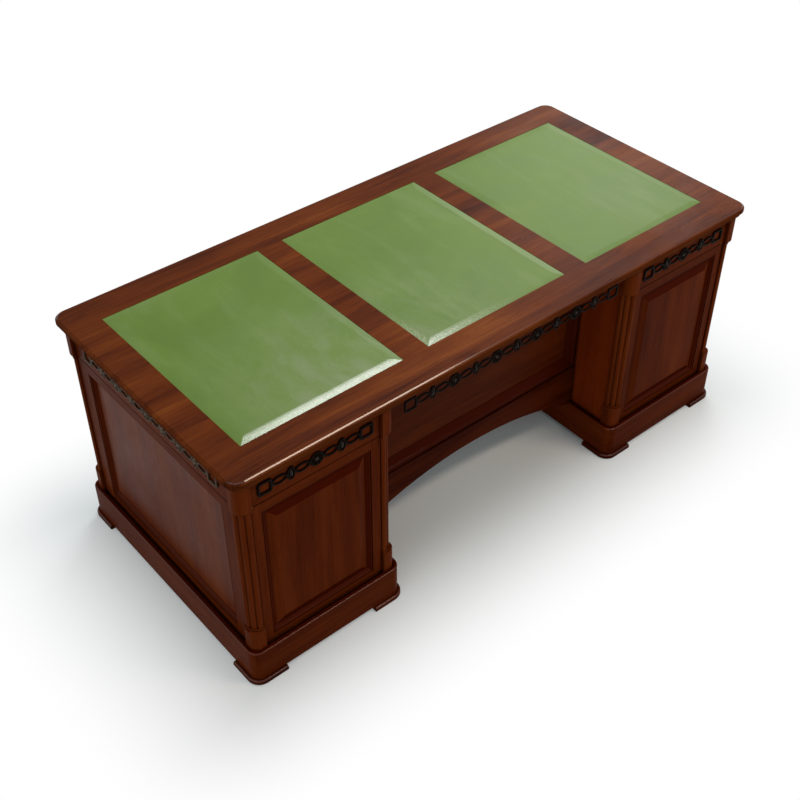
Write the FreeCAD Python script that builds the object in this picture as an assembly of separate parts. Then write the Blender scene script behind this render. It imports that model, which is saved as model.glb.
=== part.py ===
import FreeCAD, Part
import math
import os

Vector = FreeCAD.Vector

# Partners desk. Millimetres, +Z up, origin on the floor under the middle of the desk.
# +X runs along the length, the visitor's side faces -Y and the sitter's side faces +Y.

# Top
top_length = 2000.0
top_depth = 920.0
desk_height = 800.0             # wooden face of the top above the floor
top_thickness = 36.0
top_corner_radius = 43.0
nosing_height = 20.0
nosing_bevel_run = 8.5          # flat bevel along the upper edge
nosing_bevel_drop = 6.0
nosing_arris_radius = 1.5
nosing_under_radius = 5.0
nosing_overhang = 8.0           # how far the nosing stands out over the ovolo below it
ovolo_radius = 9.0
long_rail_width = 57.0
end_rail_width = 50.0

# Leather panels, let into the top
leather_panels = ["left", "centre", "right"]
leather_end_margin = 105.0      # wood between a panel and the end of the top
leather_side_margin = 115.0     # wood between a panel and the long edges
cross_rail_width = 91.0         # wood between two panels
leather_recess = 6.0
leather_clearance = 0.3
leather_edge = 3.5              # thickness at the edge
leather_bevel = 25.0            # width of the padded bevel
leather_rise = 3.5              # height of the padded bevel
leather_crown = 1.0             # further rise to the middle
leather_crown_run = 120.0

# Plan of the pedestals
foot_end_projection = 3.0       # feet beyond the ends of the top
foot_side_projection = 4.0      # feet beyond the long edges of the top
pedestal_width = 556.0          # over the feet of one pedestal
foot_corner_radius = 42.0
foot_thickness = 18.0
foot_arm = 115.0
foot_width = 55.0
foot_edge_radius = 6.0
plinth_setback = 10.0           # plinth face behind the foot's edge
plinth_board = 12.0
plinth_height = 112.0
plinth_edge_radius = 4.0
base_drop = 18.0                # base board below the plinth's top edge
base_board = 18.0
sill_rise = 0.5                 # fixed rails under doors and drawers stand this far over the plinth
sill_thickness = 20.0
post_size = 43.0                # corner column's blocks
post_corner_radius = 26.0
face_setback = 12.0             # doors, friezes and frames behind the column's blocks

# Corner columns
base_block_height = 92.0
collar_height = 8.0
collar_setback = 1.0
shaft_setback = 3.0             # crests of the reeds behind the blocks
reed_count = 3
reed_radius = 9.5

# Frieze
frieze_height = 93.0
frieze_board = 18.0
frieze_groove = 3.0             # quirk along the lower edge of the end friezes
kneehole_fret_lap = 4.0         # tops of the fret's squares on the kneehole's rail, the rest hangs open
kneehole_frieze_setback = 6.0   # behind the pedestals' friezes

# Fret
fret_thickness = 5.0
fret_square_width = 46.0
fret_height = 44.0
fret_line = 7.5
fret_link_height = 28.0
fret_link_line = 5.5
fret_stud_width = 26.0
fret_rosette_width = 44.0
fret_overlap = 1.0              # links let into the bosses
fret_drop = 83.0                # fret's middle below the face of the top
front_fret_margin = 25.5        # plain frieze at each end of a fret
front_fret_links = 4
end_fret_margin = 58.0
end_fret_links = 8
kneehole_fret_margin = 44.0
kneehole_fret_links = 10

# Panel mouldings
moulding_width = 16.0
moulding_sink = 1.0             # crest of the bead behind the frame's face
quirk_share = 0.12              # flat beside the frame, as a share of the moulding's width
bead_share = 0.3                # the bead, as a share of the moulding's width
bead_foot = 0.7                 # height of the bead's foot, as a share of its crest
moulding_lip = 1.0              # thickness at the field

# Doors
door_thickness = 22.0
door_side_gap = 1.6
door_bottom_gap = 2.0
door_top_gap = 3.0
door_stile = 31.4
door_bottom_rail = 16.5
door_top_rail = 31.0
door_groove_depth = 10.0        # foot of the moulding behind the frame's face
door_bevel_width = 28.0         # slope from the groove up to the raised field
door_bevel_rise = 9.0
door_edge_radius = 3.0          # front corner at the pivots
pivot_inset = 6.0               # pin's axis from the door's edge and face
pivot_radius = 3.0
pivot_clearance = 0.05
pivot_length = 14.0
pivot_collar_radius = 5.5
pivot_end_gap = 1.0
pivot_seat_gap = 0.3

# Touch latches: a press on a door or drawer lets it spring out
latch_height = 16.0
latch_length = 44.0
latch_drop = 9.0                # door's latch below the frieze
plunger_radius = 4.0
plunger_gap = 0.3
plunger_inset = 8.0             # plunger's middle from the edge of the bay

# Pedestal ends and insides
end_frame_thickness = 12.0
end_stile = 55.0
end_bottom_rail = 38.0
end_top_rail = 31.0
end_panel_thickness = 18.0
inner_side_thickness = 18.0
divider_thickness = 18.0
divider_setback = 330.0         # divider's front behind the faces of the visitor's side
shelf_thickness = 18.0
shelf_height = 270.0            # above the base board
shelf_front_gap = 20.0          # behind the door

# Modesty panel
modesty_setback = 178.0         # behind the faces of the visitor's side
modesty_panel_thickness = 14.0
modesty_frame_thickness = 16.0
modesty_rail_top = 280.0
modesty_top_rail = 49.0
arch_crown = 210.0              # underside of the arch at the middle
arch_spring = 107.0             # underside of the arch at the pedestals
modesty_moulding_width = 50.0

# Drawers on the sitter's side
drawer_front = 20.0
drawer_gap = 3.0
drawer_side = 12.0
drawer_bottom = 6.0
drawer_bottom_lift = 8.0        # bottom board above the lower edge of the sides
drawer_side_clearance = 2.0
drawer_headroom = 14.0          # box's rim below the front's top edge
drawer_footroom = 16.0          # box's lower edge above the front's lower edge
drawer_end_gap = 12.0           # box's back before the divider
drawer_field_margin = 30.0
drawer_field_depth = 12.0
runner_height = 12.0
runner_clearance = 0.3
centre_drawer_height = 78.0
centre_drawer_end_gap = 152.0   # box's back before the modesty panel
centre_drawer_side_gap = 20.0   # box's sides inside the kneehole's sides

# Leather panels
leather_span = top_length - 2 * leather_end_margin + cross_rail_width
leather_pitch = leather_span / len(leather_panels)
leather_width = leather_pitch - cross_rail_width
leather_depth = top_depth - 2 * leather_side_margin

# Levels
pedestal_top = desk_height - top_thickness
plinth_top = foot_thickness + plinth_height
base_top = plinth_top - base_drop
sill_top = plinth_top + sill_rise
frieze_bottom = pedestal_top - frieze_height
collar_bottom = base_top + base_block_height
shaft_bottom = collar_bottom + collar_height
shaft_top = frieze_bottom - collar_height
fret_level = desk_height - fret_drop

# Plan lines of the right-hand pedestal
foot_outer = top_length / 2 + foot_end_projection
foot_inner = foot_outer - pedestal_width
foot_front = top_depth / 2 + foot_side_projection
plinth_outer = foot_outer - plinth_setback
plinth_inner = foot_inner + plinth_setback
plinth_front = foot_front - plinth_setback
post_outer = plinth_outer - plinth_board
post_inner = plinth_inner + plinth_board
post_front = plinth_front - plinth_board
bay_outer = post_outer - post_size
bay_inner = post_inner + post_size
bay_front = post_front - post_size
face_outer = post_outer - face_setback
face_inner = post_inner + face_setback
face_front = post_front - face_setback
board_outer = face_outer - end_frame_thickness
inside_outer = board_outer - end_panel_thickness
inside_inner = face_inner + inner_side_thickness
divider_front = -face_front + divider_setback
divider_back = divider_front + divider_thickness
modesty_face = -face_front + modesty_setback
modesty_field = modesty_face + modesty_frame_thickness
modesty_back = modesty_field + modesty_panel_thickness

edge_tolerance = 0.01           # for picking edges by where they lie

pieces = {}


def add(name, *solids):
    """Keep one node: a solid, or a group of solids."""
    pieces[name] = solids[0] if len(solids) == 1 else Part.makeCompound(list(solids))


def mirrored(shape):
    return shape.mirror(Vector(0, 0, 0), Vector(1, 0, 0))


def add_pair(name, *solids):
    """Keep a piece of the right-hand pedestal and its mirror image in the left-hand one."""
    add("right_" + name, *solids)
    add("left_" + name, *[mirrored(solid) for solid in solids])


def board(x0, x1, y0, y1, z0, z1):
    return Part.makeBox(x1 - x0, y1 - y0, z1 - z0, Vector(x0, y0, z0))


def upright_edges(shape):
    return [edge for edge in shape.Edges if edge.BoundBox.ZLength > edge_tolerance]


def level_edges(shape, level):
    def lies_at(edge):
        flat = edge.BoundBox.ZLength < edge_tolerance
        return flat and abs(edge.BoundBox.ZMin - level) < edge_tolerance
    return [edge for edge in shape.Edges if lies_at(edge)]


def rounded_board(x0, x1, y0, y1, z0, z1, radius):
    plain = board(x0, x1, y0, y1, z0, z1)
    return plain.makeFillet(radius, upright_edges(plain))


def prism(points, along):
    """A solid between a flat polygon and its copy moved along a vector."""
    return Part.Face(Part.makePolygon(points + points[:1])).extrude(along)


def facing(shape, turn, x, y, z):
    """A copy of a shape made facing -Y, turned about Z in degrees and moved to its place."""
    placed = shape.copy()
    placed.rotate(Vector(0, 0, 0), Vector(0, 0, 1), turn)
    placed.translate(Vector(x, y, z))
    return placed


# Top

def top_layer(inset, low, high):
    """A slab with the top's rounded corners, drawn in on all sides by an inset."""
    x = top_length / 2 - inset
    y = top_depth / 2 - inset
    return rounded_board(-x, x, -y, y, low, high, top_corner_radius - inset)


def level_outline(shape, level):
    return Part.Wire(Part.sortEdges(level_edges(shape, level))[0])


def top_blank():
    """The whole top with its moulded edge, before it is parted into core and rails."""
    nosing_bottom = desk_height - nosing_height
    bevel_bottom = desk_height - nosing_bevel_drop
    nosing = top_layer(0, nosing_bottom, bevel_bottom)
    crown = top_layer(nosing_bevel_run, nosing_bottom, desk_height)
    bevel = [level_outline(nosing, bevel_bottom), level_outline(crown, desk_height)]
    nosing = nosing.fuse(Part.makeLoft(bevel, True, True)).removeSplitter()
    for level, radius in ((desk_height, nosing_arris_radius), (bevel_bottom, nosing_arris_radius),
                          (nosing_bottom, nosing_under_radius)):
        nosing = nosing.makeFillet(radius, level_edges(nosing, level))
    lower = top_layer(nosing_overhang, pedestal_top, nosing_bottom)
    lower = lower.makeFillet(ovolo_radius, level_edges(lower, pedestal_top))
    return nosing.fuse(lower)


def leather_centres():
    first = (1 - len(leather_panels)) / 2
    return {side: (first + index) * leather_pitch for index, side in enumerate(leather_panels)}


def make_top():
    blank = top_blank()
    far_x = top_length / 2
    far_y = top_depth / 2
    core_x = far_x - end_rail_width
    core_y = far_y - long_rail_width
    low = pedestal_top
    high = desk_height
    core = board(-core_x, core_x, -core_y, core_y, low, high)
    for middle in leather_centres().values():
        x0 = middle - leather_width / 2
        y0 = leather_depth / 2
        core = core.cut(board(x0, x0 + leather_width, -y0, y0, high - leather_recess, high))
    add("top_core", core)
    add("top_front_rail", blank.common(board(-far_x, far_x, -far_y, -core_y, low, high)))
    add("top_back_rail", blank.common(board(-far_x, far_x, core_y, far_y, low, high)))
    add("top_right_rail", blank.common(board(core_x, far_x, -core_y, core_y, low, high)))
    add("top_left_rail", blank.common(board(-far_x, -core_x, -core_y, core_y, low, high)))


def rectangle_wire(half_x, half_y, z):
    corners = [Vector(-half_x, -half_y, z), Vector(half_x, -half_y, z)]
    corners += [Vector(half_x, half_y, z), Vector(-half_x, half_y, z)]
    return Part.makePolygon(corners + corners[:1])


def leather_pad():
    """A leather panel with a padded bevel round its edge and a slight crown."""
    half_x = leather_width / 2 - leather_clearance
    half_y = leather_depth / 2 - leather_clearance
    z = desk_height - leather_recess
    steps = [(0.0, z), (0.0, z + leather_edge)]
    steps.append((leather_bevel, z + leather_edge + leather_rise))
    steps.append((leather_bevel + leather_crown_run, z + leather_edge + leather_rise + leather_crown))
    outlines = [rectangle_wire(half_x - inset, half_y - inset, level) for inset, level in steps]
    return Part.makeLoft(outlines, True, True)


def make_leather():
    pad = leather_pad()
    for side, middle in leather_centres().items():
        add("leather_" + side, facing(pad, 0, middle, 0, 0))


# Feet and plinth

def make_feet():
    """Flat L-shaped pads under the corners of the plinth."""
    low = 0
    high = foot_thickness
    plate = rounded_board(foot_inner, foot_outer, -foot_front, foot_front, low, high, foot_corner_radius)
    plate = plate.makeFillet(foot_edge_radius, level_edges(plate, low) + level_edges(plate, high))
    feet = []
    for x, inward_x in ((foot_inner, 1), (foot_outer, -1)):
        for y, inward_y in ((-foot_front, 1), (foot_front, -1)):
            long_x = sorted((x, x + inward_x * foot_arm))
            long_y = sorted((y, y + inward_y * foot_arm))
            thin_x = sorted((x, x + inward_x * foot_width))
            thin_y = sorted((y, y + inward_y * foot_width))
            ell = board(*long_x, *thin_y, low, high).fuse(board(*thin_x, *long_y, low, high))
            feet.append(plate.common(ell).removeSplitter())
    add_pair("feet", *feet)


def make_plinth():
    """Four boards mitred at the corners, and the base board and sills let in between them."""
    radius = foot_corner_radius - plinth_setback
    low = foot_thickness
    ring = rounded_board(plinth_inner, plinth_outer, -plinth_front, plinth_front, low, plinth_top, radius)
    ring = ring.makeFillet(plinth_edge_radius, level_edges(ring, plinth_top))
    inner_radius = radius - plinth_board
    hollow = rounded_board(post_inner, post_outer, -post_front, post_front, 0, desk_height, inner_radius)
    ring = ring.cut(hollow)
    middle_x = (plinth_inner + plinth_outer) / 2
    reach = plinth_outer - middle_x
    up = Vector(0, 0, plinth_height)
    boards = []
    for end in (-1, 1):
        y = end * plinth_front
        tip = Vector(middle_x, end * (plinth_front - reach), low)
        across = [Vector(plinth_inner, y, low), Vector(plinth_outer, y, low), tip]
        boards.append(ring.common(prism(across, up)))
        side = middle_x + end * reach
        along = [Vector(side, -plinth_front, low), Vector(side, plinth_front, low)]
        along += [Vector(middle_x, plinth_front - reach, low), Vector(middle_x, reach - plinth_front, low)]
        boards.append(ring.common(prism(along, up)))
    add_pair("plinth", *boards)
    base = board(plinth_inner, plinth_outer, -plinth_front, plinth_front, base_top - base_board, base_top)
    sills = []
    for y0, y1 in ((-face_front, -face_front + sill_thickness), (face_front - sill_thickness, face_front)):
        sills.append(board(bay_inner, bay_outer, y0, y1, base_top, sill_top))
    add_pair("base_board", base.common(hollow), *sills)


# Corner columns

def quarter_round(radius, z0, z1):
    return Part.makeCylinder(radius, z1 - z0, Vector(0, 0, z0), Vector(0, 0, 1), 90)


def column_block(z0, z1):
    square = board(0, post_size, 0, post_size, z0, z1)
    half = post_size / 2
    outer = [edge for edge in upright_edges(square) if min(edge.BoundBox.XMin, edge.BoundBox.YMin) > half]
    return square.makeFillet(post_corner_radius, outer)


def reeded_shaft():
    """Upright reeds side by side round a quarter column."""
    reach = post_size - shaft_setback - reed_radius
    height = shaft_top - shaft_bottom
    spacing = math.pi / 2 / reed_count
    shaft = quarter_round(reach, shaft_bottom, shaft_top)
    for index in range(reed_count):
        angle = (index + 0.5) * spacing
        foot = Vector(reach * math.cos(angle), reach * math.sin(angle), shaft_bottom)
        shaft = shaft.fuse(Part.makeCylinder(reed_radius, height, foot))
    return shaft.common(board(0, post_size, 0, post_size, shaft_bottom, shaft_top))


def corner_column():
    """A reeded quarter column with plain blocks, its back corner on the Z axis."""
    collar_radius = post_size - collar_setback
    parts = [quarter_round(collar_radius, collar_bottom, shaft_bottom)]
    parts.append(reeded_shaft())
    parts.append(quarter_round(collar_radius, shaft_top, frieze_bottom))
    parts.append(column_block(frieze_bottom, pedestal_top))
    return column_block(base_top, collar_bottom).fuse(parts).removeSplitter()


def make_columns():
    column = corner_column()
    columns = []
    for turn, x, y in ((0, bay_outer, bay_front), (90, bay_inner, bay_front),
                       (180, bay_inner, -bay_front), (270, bay_outer, -bay_front)):
        columns.append(facing(column, turn, x, y, 0))
    add_pair("columns", *columns)


# Panel mouldings and frets, made facing -Y with the field at y = 0

def panel_moulding(width, height, strip, recess):
    """Four mitred strips round the inside of a panel's frame: quirk, bead and a slope to the field."""
    crest = recess - moulding_sink
    quirk = strip * quirk_share
    bead_end = quirk + strip * bead_share
    side = width / 2
    bottom = -height / 2
    outer = [(side, bottom), (side, -bottom), (-side, -bottom), (-side, bottom)]
    inner = [(x - math.copysign(strip, x), z - math.copysign(strip, z)) for x, z in outer]
    middle = [(0, bottom)]
    path = Part.makePolygon([Vector(x, 0, z) for x, z in middle + outer + middle])

    def at(inward, outward):
        return Vector(0, -outward, bottom + inward)

    foot = crest * bead_foot
    bead = Part.Arc(at(quirk, foot), at((quirk + bead_end) / 2, crest), at(bead_end, foot))
    profile = [Part.LineSegment(at(0, 0), at(0, foot)), Part.LineSegment(at(0, foot), at(quirk, foot))]
    profile.append(bead)
    profile.append(Part.LineSegment(at(bead_end, foot), at(strip, moulding_lip)))
    profile.append(Part.LineSegment(at(strip, moulding_lip), at(strip, 0)))
    profile.append(Part.LineSegment(at(strip, 0), at(0, 0)))
    outline = Part.Wire([line.toShape() for line in profile])
    ring = path.makePipeShell([outline], True, False, 1)
    strips = []
    for index in range(len(outer)):
        following = (index + 1) % len(outer)
        mitred = [outer[index], outer[following], inner[following], inner[index]]
        wedge = prism([Vector(x, 0, z) for x, z in mitred], Vector(0, -crest, 0))
        strips.append(ring.common(wedge))
    return strips


def placed_moulding(strips, turn, x, y, z):
    return [facing(strip, turn, x, y, z) for strip in strips]


def oval_face(width, height):
    """A flat oval; its longer way may lie along either axis."""
    long_way = max(width, height) / 2
    short_way = min(width, height) / 2
    face = Part.Face(Part.Wire(Part.Ellipse(Vector(0, 0, 0), long_way, short_way).toShape()))
    if height > width:
        face.rotate(Vector(0, 0, 0), Vector(0, 0, 1), 90)
    return face


def open_link(width):
    """The oval ring between two bosses."""
    ring = oval_face(width, fret_link_height)
    return ring.cut(oval_face(width - 2 * fret_link_line, fret_link_height - 2 * fret_link_line))


def open_square():
    hole_x = fret_square_width - 2 * fret_line
    hole_y = fret_height - 2 * fret_line
    corner = Vector(-fret_square_width / 2, -fret_height / 2, 0)
    hole = Part.makePlane(hole_x, hole_y, Vector(-hole_x / 2, -hole_y / 2, 0))
    return Part.makePlane(fret_square_width, fret_height, corner).cut(hole)


def rosette():
    return Part.Face(Part.Wire(Part.makeCircle(fret_rosette_width / 2)))


def fret(space, margin, count):
    """A flat fret along a space: squares at its ends, studs and rosettes by turns, links between them."""
    pitch = (space - 2 * margin - fret_square_width) / count
    square = (fret_square_width, open_square())
    inner = [(fret_stud_width, oval_face(fret_stud_width, fret_height)), (fret_rosette_width, rosette())]
    bosses = [square] + [inner[index % 2] for index in range(count - 1)] + [square]
    faces = []
    for index, (width, face) in enumerate(bosses):
        x = (index - count / 2) * pitch
        faces.append(facing(face, 0, x, 0, 0))
        if index < count:
            start = x + width / 2 - fret_overlap
            end = x + pitch - bosses[index + 1][0] / 2 + fret_overlap
            faces.append(facing(open_link(end - start), 0, (start + end) / 2, 0, 0))
    solids = [face.extrude(Vector(0, 0, fret_thickness)) for face in faces]
    strip = solids[0].fuse(solids[1:]).removeSplitter()
    strip.rotate(Vector(0, 0, 0), Vector(1, 0, 0), 90)
    return strip


# Visitor's side: friezes and doors

def make_front_frieze():
    back = -face_front + frieze_board
    add_pair("front_frieze", board(bay_inner, bay_outer, -face_front, back, frieze_bottom, pedestal_top))
    middle = (bay_inner + bay_outer) / 2
    strip = fret(bay_outer - bay_inner, front_fret_margin, front_fret_links)
    add_pair("front_fret", facing(strip, 0, middle, -face_front, fret_level))


def raised_panel(x0, x1, y0, y1, z0, z1):
    """A board with a raised field on its front, inside the moulding, with sloping edges."""
    outlines = []
    for inset, y in ((0, y0), (door_bevel_width, y0 - door_bevel_rise)):
        margin = moulding_width + inset
        left = x0 + margin
        right = x1 - margin
        low = z0 + margin
        high = z1 - margin
        corners = [Vector(left, y, low), Vector(right, y, low), Vector(right, y, high), Vector(left, y, high)]
        outlines.append(Part.makePolygon(corners + corners[:1]))
    field = Part.makeLoft(outlines, True, True)
    return board(x0, x1, y0, y1, z0, z1).fuse(field).removeSplitter()


def make_door():
    """A framed and moulded door on two pivot pins at its outer edge."""
    left = bay_inner + door_side_gap
    right = bay_outer - door_side_gap
    low = sill_top + door_bottom_gap
    high = frieze_bottom - door_top_gap
    front = -face_front
    back = front + door_thickness
    groove = front + door_groove_depth
    pin_x = right - pivot_inset
    pin_y = front + pivot_inset
    bore = pivot_radius + pivot_clearance
    field_left = left + door_stile
    field_right = right - door_stile
    field_low = low + door_bottom_rail
    field_high = high - door_top_rail

    hinge_stile = board(field_right, right, front, back, low, high)
    corner = [edge for edge in upright_edges(hinge_stile)
              if edge.BoundBox.XMin > pin_x and edge.BoundBox.YMax < pin_y]
    hinge_stile = hinge_stile.makeFillet(door_edge_radius, corner)
    low_depth = pivot_length - door_bottom_gap + pivot_end_gap
    high_depth = pivot_length - door_top_gap + pivot_end_gap
    for depth, level in ((low_depth, low), (high_depth, high - high_depth)):
        hinge_stile = hinge_stile.cut(Part.makeCylinder(bore, depth, Vector(pin_x, pin_y, level)))
    free_stile = board(left, field_left, front, back, low, high)
    bottom_rail = board(field_left, field_right, front, back, low, field_low)
    top_rail = board(field_left, field_right, front, back, field_high, high)
    field_width = field_right - field_left
    field_height = field_high - field_low
    moulding = panel_moulding(field_width, field_height, moulding_width, door_groove_depth)
    middle_x = (field_left + field_right) / 2
    moulding = placed_moulding(moulding, 0, middle_x, groove, (field_low + field_high) / 2)
    add_pair("door_frame", hinge_stile, free_stile, bottom_rail, top_rail, *moulding)
    add_pair("door_panel", raised_panel(field_left, field_right, groove, back, field_low, field_high))

    low_pin = Part.makeCylinder(pivot_radius, pivot_length, Vector(pin_x, pin_y, sill_top))
    low_height = low - pivot_seat_gap - sill_top
    low_collar = Part.makeCylinder(pivot_collar_radius, low_height, Vector(pin_x, pin_y, sill_top))
    pin_end = Vector(pin_x, pin_y, frieze_bottom - pivot_length)
    high_pin = Part.makeCylinder(pivot_radius, pivot_length, pin_end)
    collar_end = Vector(pin_x, pin_y, high + pivot_seat_gap)
    high_collar = Part.makeCylinder(pivot_collar_radius, frieze_bottom - collar_end.z, collar_end)
    add_pair("door_pivots", low_pin.fuse(low_collar), high_pin.fuse(high_collar))


# Pedestal ends and insides

def make_end():
    """The outer end of a pedestal: a board, an applied frame with its moulding, and the frieze."""
    add_pair("end_panel", board(inside_outer, board_outer, -bay_front, bay_front, base_top, pedestal_top))
    field_y = bay_front - end_stile
    field_low = base_top + end_bottom_rail
    frame_high = frieze_bottom
    field_high = frame_high - end_top_rail
    face = face_outer
    frame = []
    for y0, y1 in ((-bay_front, -field_y), (field_y, bay_front)):
        frame.append(board(board_outer, face, y0, y1, base_top, frame_high))
    frame.append(board(board_outer, face, -field_y, field_y, base_top, field_low))
    frame.append(board(board_outer, face, -field_y, field_y, field_high, frame_high))
    moulding = panel_moulding(2 * field_y, field_high - field_low, moulding_width, end_frame_thickness)
    frame += placed_moulding(moulding, 90, board_outer, 0, (field_low + field_high) / 2)
    frieze = board(board_outer, face, -bay_front, bay_front, frieze_bottom, pedestal_top)
    groove_high = frieze_bottom + frieze_groove
    groove = board(face - frieze_groove, face, -bay_front, bay_front, frieze_bottom, groove_high)
    frame.append(frieze.cut(groove))
    add_pair("end_frame", *frame)
    strip = fret(2 * bay_front, end_fret_margin, end_fret_links)
    add_pair("end_fret", facing(strip, 90, face, 0, fret_level))


def make_inside():
    """The pedestal's inner side, the divider behind the cupboard and the cupboard's shelf."""
    add_pair("inner_side", board(face_inner, inside_inner, -bay_front, bay_front, base_top, pedestal_top))
    divider = board(inside_inner, inside_outer, divider_front, divider_back, base_top, pedestal_top)
    add_pair("divider", divider)
    low = base_top + shelf_height
    high = low + shelf_thickness
    shelf_front = -face_front + door_thickness + shelf_front_gap
    add_pair("shelf", board(inside_inner, inside_outer, shelf_front, divider_front, low, high))


# Kneehole

def make_kneehole():
    """A rail under the top between the pedestals and the openwork fret that hangs from it."""
    half = post_inner
    low = fret_level + fret_height / 2 - kneehole_fret_lap
    front = -face_front + kneehole_frieze_setback
    add("kneehole_frieze", board(-half, half, front, front + frieze_board, low, pedestal_top))
    strip = fret(2 * half, kneehole_fret_margin, kneehole_fret_links)
    add("kneehole_fret", facing(strip, 0, 0, front, fret_level))


def arched_rail():
    """The bottom rail with its arch, notched at both ends over the plinths."""
    half = face_inner
    corners = [Vector(half, modesty_face, arch_spring), Vector(half, modesty_face, modesty_rail_top)]
    corners += [Vector(-half, modesty_face, modesty_rail_top), Vector(-half, modesty_face, arch_spring)]
    arch = Part.Arc(corners[3], Vector(0, modesty_face, arch_crown), corners[0]).toShape()
    outline = Part.Wire(Part.makePolygon(corners).Edges + [arch])
    rail = Part.Face(outline).extrude(Vector(0, modesty_back - modesty_face, 0))
    for x0, x1 in ((-half, -plinth_inner), (plinth_inner, half)):
        rail = rail.cut(board(x0, x1, modesty_face, modesty_back, 0, plinth_top))
    return rail


def make_modesty():
    """The modesty panel, its moulding and its arched bottom rail."""
    half = face_inner
    add("modesty_panel", board(-half, half, modesty_field, modesty_back, modesty_rail_top, pedestal_top))
    field_high = pedestal_top - modesty_top_rail
    top_rail = board(-half, half, modesty_face, modesty_field, field_high, pedestal_top)
    height = field_high - modesty_rail_top
    moulding = panel_moulding(2 * half, height, modesty_moulding_width, modesty_frame_thickness)
    moulding = placed_moulding(moulding, 0, 0, modesty_field, modesty_rail_top + height / 2)
    add("modesty_frame", arched_rail(), top_rail, *moulding)


# Drawers on the sitter's side

def drawer_face(width, height, moulded):
    """A drawer front, its face at y = 0, plain or with a moulded field."""
    plain = board(-width / 2, width / 2, 0, drawer_front, 0, height)
    if not moulded:
        return [plain]
    half = width / 2 - drawer_field_margin
    low = drawer_field_margin
    high = height - drawer_field_margin
    face = plain.cut(board(-half, half, 0, drawer_field_depth, low, high))
    moulding = panel_moulding(2 * half, high - low, moulding_width, drawer_field_depth)
    return [face] + placed_moulding(moulding, 0, 0, drawer_field_depth, (low + high) / 2)


def drawer_box(x0, x1, y0, y1, z0, z1):
    """Two sides, a back and a bottom, open at the front where the drawer's face closes it."""
    floor_low = z0 + drawer_bottom_lift
    floor_high = floor_low + drawer_bottom
    sides = [board(x0, x0 + drawer_side, y0, y1, z0, z1), board(x1 - drawer_side, x1, y0, y1, z0, z1)]
    inner_x0 = x0 + drawer_side
    inner_x1 = x1 - drawer_side
    back = board(inner_x0, inner_x1, y0, y0 + drawer_side, z0, z1)
    bottom = board(inner_x0, inner_x1, y0 + drawer_side, y1, floor_low, floor_high)
    return sides + [back, bottom]


def runner_pair(x0, x1, y0, y1, z, box_x0, box_x1):
    """Strips along the sides of a bay, just under the sides of a drawer's box."""
    high = z - runner_clearance
    low = high - runner_height
    first = board(x0, box_x0 + drawer_side, y0, y1, low, high)
    second = board(box_x1 - drawer_side, x1, y0, y1, low, high)
    return [first, second]


def pedestal_drawers():
    """Name, lowest and highest level of each drawer front of one pedestal."""
    low = sill_top + door_bottom_gap
    high = frieze_bottom - door_top_gap
    height = (high - low - drawer_gap) / 2
    bottom = ("bottom", low, low + height)
    middle = ("middle", high - height, high)
    return [bottom, middle, ("top", frieze_bottom, pedestal_top - drawer_gap)]


def make_pedestal_drawers():
    left = bay_inner + drawer_side_clearance
    right = bay_outer - drawer_side_clearance
    middle = (left + right) / 2
    front_back = face_front - drawer_front
    box_back = divider_back + drawer_end_gap
    runners = []
    for name, low, high in pedestal_drawers():
        faces = drawer_face(right - left, high - low, name != "top")
        add_pair(name + "_drawer_front", *[facing(face, 180, middle, face_front, low) for face in faces])
        box_low = low + drawer_footroom
        box = drawer_box(left, right, box_back, front_back, box_low, high - drawer_headroom)
        add_pair(name + "_drawer_box", *box)
        runners += runner_pair(inside_inner, inside_outer, divider_back, bay_front, box_low, left, right)
    add_pair("drawer_runners", *runners)


def make_centre_drawer():
    half = post_inner - drawer_side_clearance
    low = pedestal_top - centre_drawer_height
    high = pedestal_top - drawer_gap
    face = drawer_face(2 * half, high - low, False)
    add("centre_drawer_front", *[facing(part, 180, 0, face_front, low) for part in face])
    box_x = face_inner - centre_drawer_side_gap
    front_back = face_front - drawer_front
    box_back = modesty_back + centre_drawer_end_gap
    box_low = low + drawer_footroom
    box = drawer_box(-box_x, box_x, box_back, front_back, box_low, high - drawer_headroom)
    add("centre_drawer_box", *box)
    strips = runner_pair(-face_inner, face_inner, box_back, bay_front, box_low, -box_x, box_x)
    add("centre_drawer_runners", *strips)


# Touch latches

def make_latches():
    """Round plungers behind the doors and the pedestals' drawers."""
    high = frieze_bottom - latch_drop
    low = high - latch_height
    front = -bay_front
    block = board(inside_inner, bay_inner + 2 * plunger_inset, front, front + latch_length, low, high)
    start = Vector(bay_inner + plunger_inset, -face_front + door_thickness + plunger_gap, (low + high) / 2)
    plunger = Part.makeCylinder(plunger_radius, front - start.y, start, Vector(0, 1, 0))
    latches = [block.fuse(plunger)]
    middle_x = (bay_inner + bay_outer) / 2
    reach = drawer_end_gap - plunger_gap
    for _, low, high in pedestal_drawers():
        level = (low + drawer_footroom + high - drawer_headroom) / 2
        start = Vector(middle_x, divider_back, level)
        latches.append(Part.makeCylinder(plunger_radius, reach, start, Vector(0, 1, 0)))
    add("touch_latches", *latches, *[mirrored(latch) for latch in latches])


make_top()
make_leather()
make_feet()
make_plinth()
make_columns()
make_front_frieze()
make_door()
make_end()
make_inside()
make_kneehole()
make_modesty()
make_pedestal_drawers()
make_centre_drawer()
make_latches()

os.makedirs("parts", exist_ok=True)
for node, shape in pieces.items():
    shape.exportStep("parts/" + node + ".step")
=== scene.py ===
import math

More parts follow.
